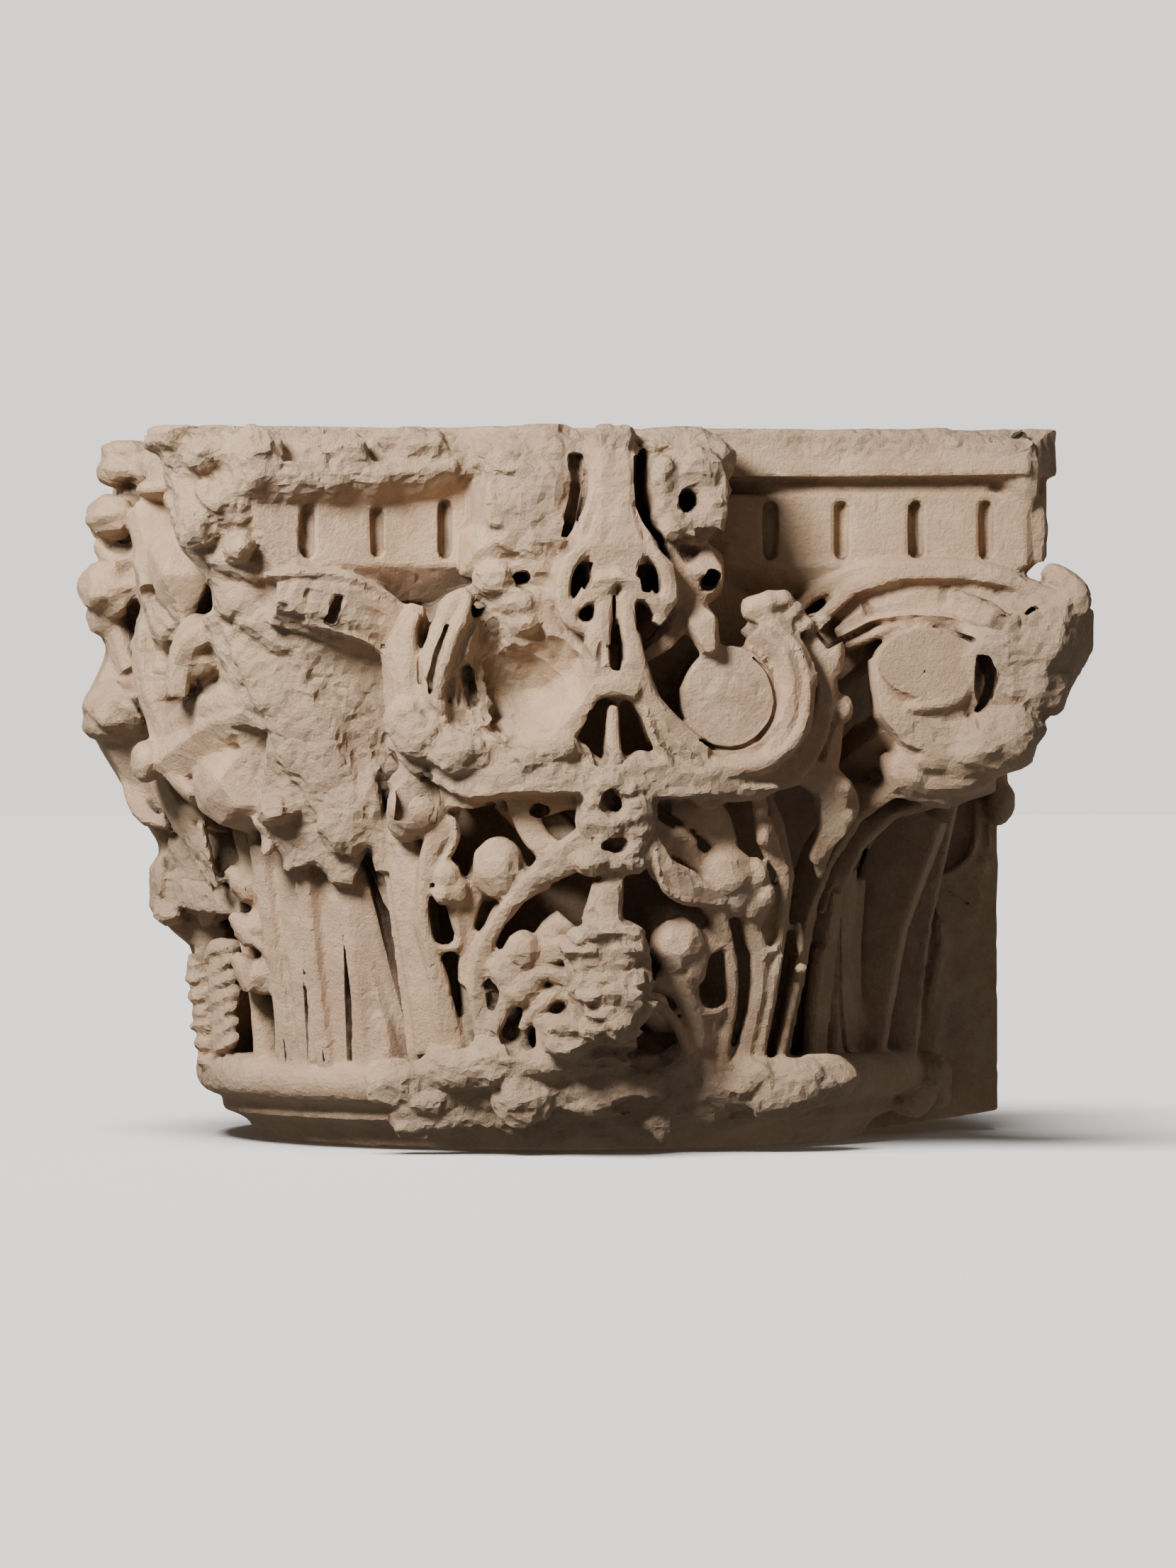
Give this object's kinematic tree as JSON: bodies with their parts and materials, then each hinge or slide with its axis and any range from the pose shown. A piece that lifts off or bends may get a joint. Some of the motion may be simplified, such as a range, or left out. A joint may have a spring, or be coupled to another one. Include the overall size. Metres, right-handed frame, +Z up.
{
  "type": "corinthian capital",
  "caption": "Carved limestone Corinthian capital, cut flat at its back, with open drilled foliage, a volute under the right horn and a piece of wall at its right.",
  "frame": {"origin": "centre of the round lower bed, on the column's axis, where the capital stands on the shaft", "axes": "+Z up along the column's axis to the flat upper bed, -Y is the front, +Y the flat back that meets the wall, -X the carved left side and +X the side with the wall block"},
  "size_m": [0.9064, 0.646, 0.662],
  "materials": {
    "stone": "matte weathered limestone"
  },
  "bodies": {
    "root": {"capital": "stone"}
  },
  "joints": []
}
